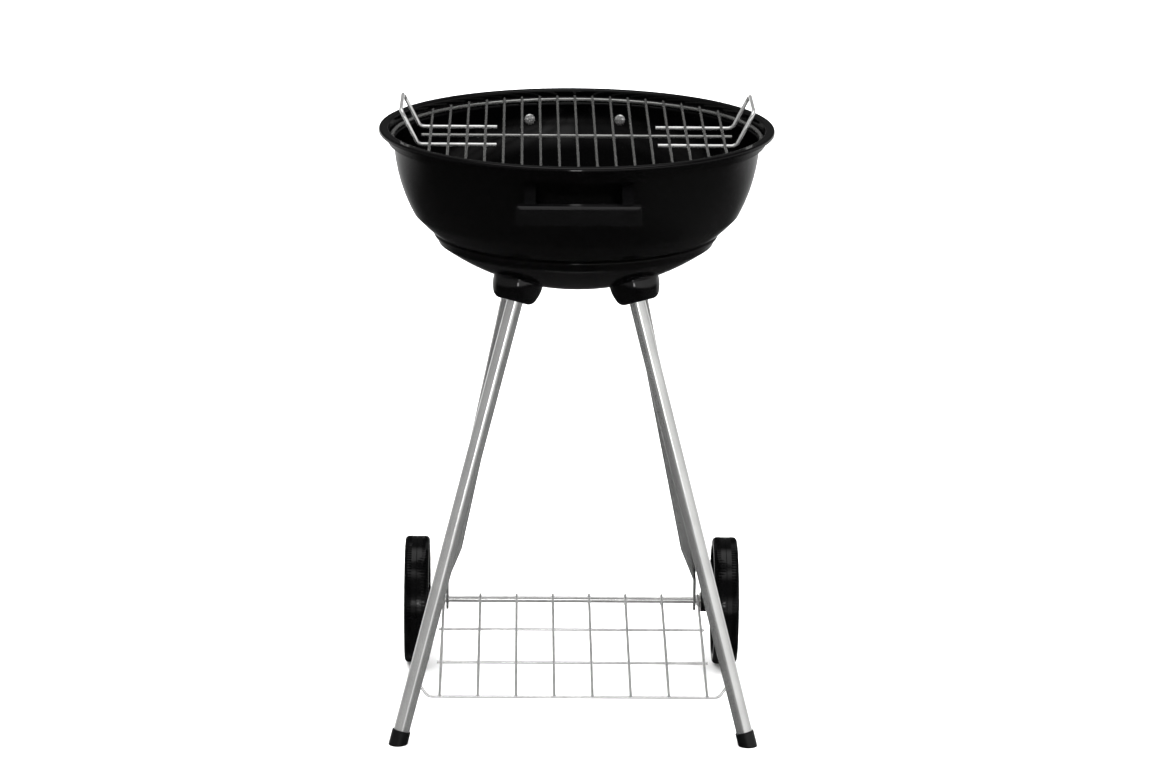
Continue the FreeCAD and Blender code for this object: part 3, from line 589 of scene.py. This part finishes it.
class GRILL_OT_bowl(bpy.types.Operator):
    """Press the bowl from one sheet, with its rolled rim, ledge, creases and holes"""
    bl_idname = "grill.bowl"
    bl_label = "Bowl"

    def execute(self, context):
        bowl = context.scene.grill_bowl
        low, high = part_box("bowl")
        rim = high.x
        flange = high.z - bowl.sheet
        rise = bowl.dish_height - low.z
        dish_curve = (bowl.dish ** 2 + rise ** 2) / (2 * rise)
        outside = [
            *arc((0, low.z), (bowl.dish, bowl.dish_height), dish_curve),
            (bowl.dish, bowl.dish_height),
            (bowl.riser, bowl.step_height - bowl.sheet - bowl.bead / 2),
            (bowl.step, bowl.step_height - bowl.bead / 2),
            (bowl.step, bowl.step_height + bowl.bead / 2),
            *arc((bowl.step - bowl.bead, bowl.step_height + bowl.bead / 2),
                 (bowl.crease, bowl.crease_height), bowl.side_curve),
            *arc((bowl.crease, bowl.crease_height), (bowl.wall, bowl.wall_top), bowl.wall_curve),
            (bowl.wall, bowl.wall_top),
            (bowl.wall, bowl.ledge),
            (bowl.collar, bowl.ledge),
            (bowl.collar, flange),
            (rim - bowl.sheet, flange),
            (rim - bowl.sheet, high.z - bowl.rim_turn),
        ]
        shell = turned(thickened(eased(outside, bowl.ease), bowl.sheet), bowl.steps)
        made = thing("bowl_pressing", shell)
        bored(made, self.holes(bowl, low.z))
        piece(made, FINISHES["black_enamel"], STAND, "black_enamel", "bowl", sharp=math.radians(50))
        return {"FINISHED"}

    def holes(self, bowl, floor):
        """Drums that cut the rivet's hole and the air vents through the floor."""
        deep = 0.03
        below = floor - 0.005
        cutters = [placed(ring_drum(bowl.rivet, deep), Matrix.Translation((0, 0, below)))]
        for index in range(bowl.vents):
            turn = 2 * math.pi * (index + 0.5) / bowl.vents
            place = Vector((bowl.vent_circle * math.cos(turn), bowl.vent_circle * math.sin(turn), below))
            cutters.append(placed(ring_drum(bowl.vent, deep, 48), Matrix.Translation(place)))
        return joined(cutters)


def wall_radius(bowl, height):
    """Outside radius of the upper wall at a height, and the wall's outward normal there."""
    foot = Vector((bowl.crease, bowl.crease_height))
    top = Vector((bowl.wall, bowl.wall_top))
    chord = top - foot
    rightward = Vector((chord.y, -chord.x)).normalized()
    centre = (foot + top) / 2 - rightward * math.sqrt(bowl.wall_curve ** 2 - chord.length_squared / 4)
    rise = (height - centre.y) / bowl.wall_curve
    run = math.sqrt(1 - rise ** 2)
    return centre.x + bowl.wall_curve * run, run, rise


def faced(end):
    """Turns a piece built on the +Y side to the side an end is on."""
    return Matrix.Rotation(0 if end == REAR else math.pi, 4, "Z")


class GRILL_OT_handles(bpy.types.Operator):
    """Mould the two handles, each a bar with a bevelled face on two arms"""
    bl_idname = "grill.handles"
    bl_label = "Handles"

    def execute(self, context):
        handle = context.scene.grill_handle
        bowl = context.scene.grill_bowl
        for name, end in ENDS.items():
            node = f"handle_{name}"
            low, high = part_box(node)
            reach = max(abs(low.y), abs(high.y))
            solids = [self.bar(handle, reach)]
            solids += [self.arm(handle, bowl, side, reach) for side in (LEFT, RIGHT)]
            made = thing(f"{node}_moulding", placed(joined(solids), faced(end)))
            softened(made, handle.edge, limit=math.radians(20))
            piece(made, FINISHES["handle_plastic"], STAND, "handle_plastic", node, sharp=math.radians(30))
        return {"FINISHED"}

    def bar(self, handle, reach):
        solid = bmesh.new()
        bmesh.ops.create_cube(solid, size=1)
        size = Matrix.Diagonal((handle.width, handle.deep, handle.tall, 1))
        placed(solid, Matrix.Translation((0, reach - handle.deep / 2, handle.level)) @ size)
        face = [edge for edge in solid.edges if all(vert.co.y > reach - 1e-6 for vert in edge.verts)]
        bmesh.ops.bevel(solid, geom=face, offset=handle.chamfer, offset_type="OFFSET", segments=1,
                        profile=0.5, affect="EDGES")
        return solid

    def arm(self, handle, bowl, side, reach):
        """One arm, shaped to the round wall at its root and sunk into the bar at its end."""
        solid = bmesh.new()
        back = reach - handle.deep + SINK
        steps = 8
        faces = []
        for edge in (LEFT, RIGHT):
            across = side * handle.arm_offset + edge * handle.arm_width / 2
            loop = []
            for step in range(steps + 1):
                height = handle.arm_bottom + (handle.arm_top - handle.arm_bottom) * step / steps
                radius = wall_radius(bowl, height)[0] - bowl.sheet / 3
                loop.append((across, math.sqrt(radius ** 2 - across ** 2), height))
            loop.append((across, back, handle.level + handle.tall / 2 - SINK))
            loop.append((across, back, handle.level - handle.tall / 2 + SINK))
            faces.append([solid.verts.new(point) for point in loop])
        near, far = faces
        solid.faces.new(near)
        solid.faces.new(far)
        for index in range(len(near)):
            after = (index + 1) % len(near)
            solid.faces.new((near[index], near[after], far[after], far[index]))
        bmesh.ops.recalc_face_normals(solid, faces=solid.faces)
        return solid


class GRILL_OT_handle_screws(bpy.types.Operator):
    """Set the domed, cross-recessed screws that hold the handles"""
    bl_idname = "grill.handle_screws"
    bl_label = "Handle screws"

    def execute(self, context):
        handle = context.scene.grill_handle
        bowl = context.scene.grill_bowl
        for name, end in ENDS.items():
            node = f"handle_screws_{name}"
            screws = []
            slots = []
            for side in (LEFT, RIGHT):
                matrix = faced(end) @ self.seat(handle, bowl, side)
                screws.append(placed(self.screw(handle), matrix))
                for turn in (handle.slot_turn, handle.slot_turn + math.pi / 2):
                    slots.append(placed(self.slot(handle, turn), matrix))
            made = thing(f"{node}_domed", joined(screws))
            for slot in slots:
                bored(made, slot)
            piece(made, FINISHES["screw_chrome"], STAND, "bright_steel", node, sharp=math.radians(30))
        return {"FINISHED"}

    def seat(self, handle, bowl, side):
        """Where a screw's head meets the inside of the wall, with its shank pointing outwards."""
        radius, run, rise = wall_radius(bowl, handle.screw_level)
        radius -= bowl.sheet * run
        across = side * handle.arm_offset
        along_wall = math.sqrt(radius ** 2 - across ** 2)
        flat = Vector((across, along_wall, 0)).normalized() * run
        direction = Vector((flat.x, flat.y, rise))
        place = Vector((across, along_wall, handle.screw_level)) - direction * handle.screw_seat
        return along(direction, place)

    def screw(self, handle):
        head, dome = handle.screw_head, handle.screw_dome
        crown = [(head * math.sin(turn), -dome * math.cos(turn)) for turn in np.linspace(0, 1.35, 9)]
        rim = [(head, -dome * 0.2), (head, 0)]
        tip = 0.001
        shank = [(handle.screw_shank, 0), (handle.screw_shank, handle.screw_length - tip),
                 (handle.screw_shank - tip, handle.screw_length), (0, handle.screw_length)]
        return turned([*crown, *rim, *shank], 40)

    def slot(self, handle, turn):
        solid = bmesh.new()
        bmesh.ops.create_cube(solid, size=1)
        size = Matrix.Diagonal((2 * handle.recess, handle.slot_width, handle.slot_depth, 1))
        crown = Matrix.Translation((0, 0, -handle.screw_dome))
        return placed(solid, Matrix.Rotation(turn, 4, "Z") @ crown @ size)


class GRILL_OT_feet(bpy.types.Operator):
    """Mould the two foot caps round the front legs' ends, cut level with the ground"""
    bl_idname = "grill.feet"
    bl_label = "Foot caps"

    def execute(self, context):
        foot = context.scene.grill_foot
        for name, side in SIDES.items():
            ground = Vector((side * foot.out, -foot.on, 0))
            up_tube = Vector((-side * foot.lean_out, foot.lean_on, foot.drop)).normalized()
            inside = foot.floor / up_tube.z
            below = -0.01
            corners = [(0, below), (foot.radius, below), (foot.radius, foot.tall),
                       (foot.bore, foot.tall), (foot.bore, inside), (0, inside)]
            outline = rounded(corners, [0, foot.rounding, foot.mouth, foot.mouth / 2, 0, 0])
            cap = placed(turned(outline, 56), along(up_tube, ground))
            cut = bmesh.ops.bisect_plane(cap, geom=[*cap.verts, *cap.edges, *cap.faces],
                                         plane_co=(0, 0, 0), plane_no=(0, 0, -1), clear_outer=True)
            rim = [edge for edge in cut["geom_cut"] if isinstance(edge, bmesh.types.BMEdge)]
            bmesh.ops.edgeloop_fill(cap, edges=rim)
            made = thing(f"foot_cap_{name}_moulding", cap)
            softened(made, foot.edge, limit=math.radians(50))
            piece(made, FINISHES["foot_plastic"], STAND, "foot_plastic", f"foot_cap_{name}")
        return {"FINISHED"}


class GRILL_OT_wheels(bpy.types.Operator):
    """Mould the two wheels, with ribbed shoulders, a parting line and a stiffened web"""
    bl_idname = "grill.wheels"
    bl_label = "Wheels"

    def execute(self, context):
        wheel = context.scene.grill_wheel
        for name, side in SIDES.items():
            node = f"wheel_{name}"
            low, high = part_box(node)
            radius = (high.z - low.z) / 2
            outer = max(abs(low.x), abs(high.x))
            inner = min(abs(low.x), abs(high.x))
            centre = outer - wheel.width / 2
            place = Vector((side * centre, (low.y + high.y) / 2, (low.z + high.z) / 2))
            solids = [self.tyre(wheel, radius, inner - centre), *self.spokes(wheel, radius)]
            made = thing(f"{node}_moulding", placed(joined(solids), along(ALONG_X * side, place)))
            piece(made, FINISHES["wheel_plastic"], node, "wheel_plastic", node, sharp=math.radians(28))
        return {"FINISHED"}

    def tyre(self, wheel, radius, hub_start):
        """Tyre, web and hub turned as one, with ribs pressed into the tyre's shoulders."""
        half = wheel.width / 2
        inside = radius - wheel.rim
        web = wheel.web / 2
        line = wheel.line
        corners = [
            (wheel.bore, hub_start), (wheel.hub, hub_start), (wheel.hub, -web), (inside, -web),
            (inside, -half), (radius, -half), (radius, -wheel.band), (radius, -line), (radius - line, 0),
            (radius, line), (radius, wheel.band), (radius, half), (inside, half), (inside, web),
            (wheel.hub, web), (wheel.hub, wheel.hub_end), (wheel.bore, wheel.hub_end),
        ]
        radii = [0.0005, 0.0012, 0.002, 0.003, 0.0015, wheel.shoulder, 0, 0, 0, 0, 0, wheel.shoulder,
                 0.0015, 0.003, 0.002, 0.0012, 0.0005]
        ramp = 0.0003  # from the smooth band down to the ribs' full depth
        outer = inside + 0.004
        outline = []
        for point in rounded(corners, radii, 7):
            leaves_band = outline and abs(point[1]) > wheel.band >= abs(outline[-1][1]) - 1e-6
            if leaves_band and point[0] > outer:
                outline.append(Vector((radius, math.copysign(wheel.band + ramp, point[1]))))
            outline.append(point)
        lowest = radius - 0.0035
        ribbed = {index for index, point in enumerate(outline)
                  if point[0] > lowest and abs(point[1]) > wheel.band + ramp / 3}
        steps_per_rib = 4

        def reach(step, index):
            sunk = index in ribbed and step % steps_per_rib >= steps_per_rib / 2
            return -wheel.rib_depth if sunk else 0

        return turned(outline, steps_per_rib * wheel.ribs, reach)

    def spokes(self, wheel, radius):
        """Thin upright ribs on both faces of the web, from hub to rim."""
        solids = []
        start = wheel.hub - SINK
        end = radius - wheel.rim + SINK
        for index in range(wheel.spokes):
            solid = bmesh.new()
            bmesh.ops.create_cube(solid, size=1)
            size = Matrix.Diagonal((end - start, wheel.spoke_width, wheel.width * wheel.spoke_share, 1))
            turn = Matrix.Rotation(2 * math.pi * index / wheel.spokes, 4, "Z")
            placed(solid, turn @ Matrix.Translation(((start + end) / 2, 0, 0)) @ size)
            bmesh.ops.bevel(solid, geom=solid.edges[:], offset=wheel.spoke_edge, offset_type="OFFSET",
                            segments=2, profile=0.5, affect="EDGES")
            solids.append(solid)
        return solids


class GRILL_OT_stage(bpy.types.Operator):
    """Lay the floor, hang the lights and set up the camera"""
    bl_idname = "grill.stage"
    bl_label = "Stage"

    def execute(self, context):
        scene = context.scene
        settings = scene.grill_stage
        scene.view_settings.view_transform = "Standard"
        self.floor(scene, settings)
        self.studio(scene)
        self.soft_box("front_box", (-0.05, -2.9, 0.62), (0, 0, 0.6), 0.30, 0.46, settings.front_light)
        self.overhead(settings)
        self.camera(scene, settings)
        return {"FINISHED"}

    def floor(self, scene, settings):
        half = settings.floor_size / 2
        mesh = bpy.data.meshes.new("floor")
        corners = [(-half, -half, 0), (half, -half, 0), (half, half, 0), (-half, half, 0)]
        mesh.from_pydata(corners, [], [(0, 1, 2, 3)])
        mesh.materials.append(floor_paint(settings))
        floor = bpy.data.objects.new("floor", mesh)
        scene.collection.objects.link(floor)
        floor.visible_glossy = False

    def studio(self, scene):
        """A dark room, bright low behind the grill and mid-grey at its sides."""
        world = bpy.data.worlds.new("studio")
        scene.world = world
        world.use_nodes = True
        paint = Paint(world.node_tree)
        side, back, up = paint.node("ShaderNodeTexCoord", {}, output="Generated").parts()
        round_back = (back + 1) * 0.5
        right = 0.88 - 0.6 * round_back
        left = 0.26 - 0.12 * round_back
        to_right = side.smooth(-0.03, 0.05)
        walls = right * to_right + left * (1 - to_right)
        level = up.smooth(-0.16, -0.03) * (1 - up.smooth(0.2, 0.45)) * (1 - back.smooth(0.55, 0.95))
        low = up.smooth(-0.55, -0.12)
        sweep = 0.8 * low * low * back.smooth(0.25, 0.9) * (1 - up.smooth(-0.05, 0.06))
        bounce = 0.06 * side.smooth(0.2, 0.8) * up.smooth(-0.9, -0.6) * (1 - up.smooth(-0.3, -0.1))
        ceiling = 1.2 * up.smooth(0.78, 0.95)
        glow = 0.03 + 0.02 * up.smooth(-0.2, 0.2) + sweep + bounce + ceiling + walls * level
        seen = paint.node("ShaderNodeLightPath", {}, output="Is Camera Ray")
        soft = paint.node("ShaderNodeLightPath", {}, output="Is Diffuse Ray")
        backdrop = paint.node("ShaderNodeBackground", {}, (1, 1, 1, 1), glow + 1.5 * seen + 1.1 * soft)
        paint.node("ShaderNodeOutputWorld", {}, backdrop)

    def soft_box(self, name, place, target, width, height, radiance):
        """A lit panel at place that faces target, mirrored in gloss but not seen itself."""
        lamp = bpy.data.lights.new(name, "AREA")
        lamp.shape = "RECTANGLE"
        lamp.size = width
        lamp.size_y = height
        lamp.energy = math.pi * width * height * radiance
        box = bpy.data.objects.new(name, lamp)
        box.location = place
        box.rotation_euler = (Vector(target) - Vector(place)).to_track_quat("-Z", "Y").to_euler()
        box.visible_camera = False
        bpy.context.scene.collection.objects.link(box)

    def overhead(self, settings):
        """A broad soft light from above that reaches the whole floor evenly."""
        lamp = bpy.data.lights.new("overhead", "SUN")
        lamp.energy = settings.overhead_light
        lamp.angle = settings.overhead_spread
        light = bpy.data.objects.new("overhead", lamp)
        light.visible_glossy = False
        bpy.context.scene.collection.objects.link(light)

    def camera(self, scene, settings):
        """A long lens level with a person's eyes, a little left of the grill's front."""
        turn = settings.camera_turn
        lens = bpy.data.cameras.new("camera")
        lens.lens = settings.lens
        lens.clip_end = 200
        camera = bpy.data.objects.new("camera", lens)
        place = Vector((settings.camera_distance * math.sin(turn),
                        -settings.camera_distance * math.cos(turn), settings.camera_height))
        level = Matrix.Rotation(turn - settings.camera_aside, 4, "Z")
        tilt = Matrix.Rotation(math.pi / 2 - settings.camera_tilt, 4, "X")
        roll = Matrix.Rotation(settings.camera_roll, 4, "Z")
        camera.matrix_world = Matrix.Translation(place) @ level @ tilt @ roll
        scene.collection.objects.link(camera)
        scene.camera = camera


class GRILL_PT_sidebar(bpy.types.Panel):
    """Lists the grill's settings and pieces"""
    bl_idname = "GRILL_PT_sidebar"
    bl_label = "Kettle grill"
    bl_space_type = "VIEW_3D"
    bl_region_type = "UI"
    bl_category = "Grill"

    def draw(self, context):
        for name, group in SETTINGS.items():
            box = self.layout.box()
            for setting in group.__annotations__:
                box.prop(getattr(context.scene, name), setting)
        for operator in OPERATORS:
            self.layout.operator(operator.bl_idname)


SETTINGS = {
    "grill_finish": FinishSettings,
    "grill_bowl": BowlSettings,
    "grill_handle": HandleSettings,
    "grill_wheel": WheelSettings,
    "grill_foot": FootSettings,
    "grill_stage": StageSettings,
}
OPERATORS = [
    GRILL_OT_dress_frame,
    GRILL_OT_bowl,
    GRILL_OT_handles,
    GRILL_OT_handle_screws,
    GRILL_OT_feet,
    GRILL_OT_wheels,
    GRILL_OT_stage,
]
CLASSES = [*SETTINGS.values(), *OPERATORS, GRILL_PT_sidebar]


def register():
    for made in CLASSES:
        bpy.utils.register_class(made)
    for name, group in SETTINGS.items():
        setattr(bpy.types.Scene, name, PointerProperty(type=group))


def unregister():
    for name in SETTINGS:
        delattr(bpy.types.Scene, name)
    for made in reversed(CLASSES):
        bpy.utils.unregister_class(made)


def main():
    register()
    for operator in OPERATORS:
        family, name = operator.bl_idname.split(".")
        getattr(getattr(bpy.ops, family), name)()


if __name__ == "__main__":
    main()
